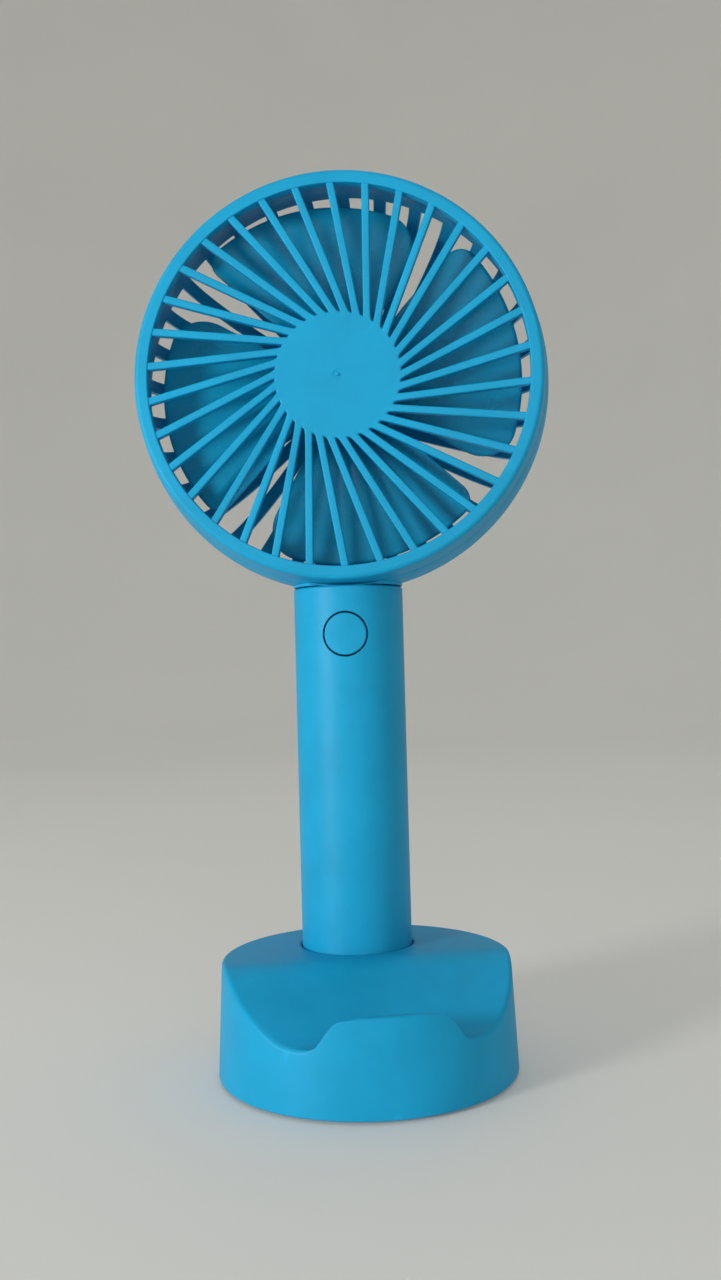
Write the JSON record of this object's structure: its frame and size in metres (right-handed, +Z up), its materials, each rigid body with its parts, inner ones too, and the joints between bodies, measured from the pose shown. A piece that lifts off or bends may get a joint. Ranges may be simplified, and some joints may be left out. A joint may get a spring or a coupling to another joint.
{
  "type": "handheld electric fan",
  "caption": "Battery hand fan with a round caged head on a straight tube handle, standing in a round desk dock with a phone groove.",
  "frame": {"origin": "centre of the dock's underside, on the surface it stands on", "axes": "+Z up, -Y towards the dock's phone groove, +X along the groove; the fan is turned 13 degrees towards -X in its socket"},
  "size_m": [0.1053, 0.0759, 0.2264],
  "materials": {
    "blue_plastic": "fine moulded texture",
    "blade_plastic": "clear tinted, polished",
    "pad_rubber": "soft matt",
    "steel": "zinc plated",
    "dark_steel": "phosphated",
    "magnet": "sintered ferrite",
    "contact_brass": "plain",
    "copper": "enamelled winding",
    "black_plastic": "matt",
    "white_plastic": "satin",
    "light_pipe": "clear diffusing",
    "cell_wrap": "shrink wrapped",
    "board": "solder mask",
    "lead_red": "insulation",
    "lead_black": "insulation"
  },
  "bodies": {
    "dock": {"dock_shell": "blue_plastic", "dock_bottom_plate": "blue_plastic", "dock_grip_pad": "pad_rubber", "dock_screw_1": "steel", "dock_screw_2": "steel", "dock_screw_3": "steel"},
    "cap": {"battery_cap": "blue_plastic", "cap_contact_plate": "contact_brass", "battery_spring": "steel"},
    "fan_body": {"handle_tube": "blue_plastic", "battery_holder": "black_plastic", "battery_cell": "cell_wrap", "top_contact": "contact_brass", "circuit_board": "board", "usb_socket": "steel", "charge_light": "light_pipe", "tact_switch": "black_plastic", "neck_screw": "steel", "rear_shell": "blue_plastic", "motor_can": "steel", "motor_magnet_1": "magnet", "motor_magnet_2": "magnet", "motor_front_bush": "contact_brass", "motor_rear_bush": "contact_brass", "motor_end_cap": "white_plastic", "motor_clamp_plate": "dark_steel", "motor_terminal_1": "contact_brass", "motor_terminal_2": "contact_brass", "motor_screw_1": "steel", "motor_screw_2": "steel", "motor_lead_red": "lead_red", "motor_lead_black": "lead_black"},
    "rotor": {"impeller": "blade_plastic", "motor_shaft": "steel", "motor_armature": "copper", "motor_commutator": "copper"},
    "button": {"power_button": "blue_plastic"},
    "plunger": {"switch_plunger": "white_plastic"},
    "grille": {"front_grille": "blue_plastic"}
  },
  "joints": [
    {"name": "fan_lift", "type": "slide", "parent": "dock", "child": "cap", "axis": [0, 0, 1], "range_m": [0, 0.03]},
    {"name": "handle_turn", "type": "hinge", "parent": "cap", "child": "fan_body", "pos_m": [0, 0.014, 0], "axis": [0, 0, 1], "continuous": true},
    {"name": "blade_spin", "type": "hinge", "parent": "fan_body", "child": "rotor", "pos_m": [-0.0018, 0.0062, 0.1729], "axis": [-0.225, -0.9744, 0], "continuous": true},
    {"name": "button_press", "type": "slide", "parent": "fan_body", "child": "button", "axis": [0.225, 0.9744, 0], "range_m": [0, 0.0006], "stiffness_N_per_m": 1500},
    {"name": "plunger_press", "type": "slide", "parent": "fan_body", "child": "plunger", "axis": [0.225, 0.9744, 0], "range_m": [0, 0.0006], "stiffness_N_per_m": 500},
    {"name": "grille_twist", "type": "hinge", "parent": "fan_body", "child": "grille", "pos_m": [-0.0018, 0.0062, 0.1729], "axis": [-0.225, -0.9744, 0], "range_deg": [0, 15]}
  ],
  "couplings": [
    {"joint": "plunger_press", "follows": "button_press", "ratio": 1}
  ]
}
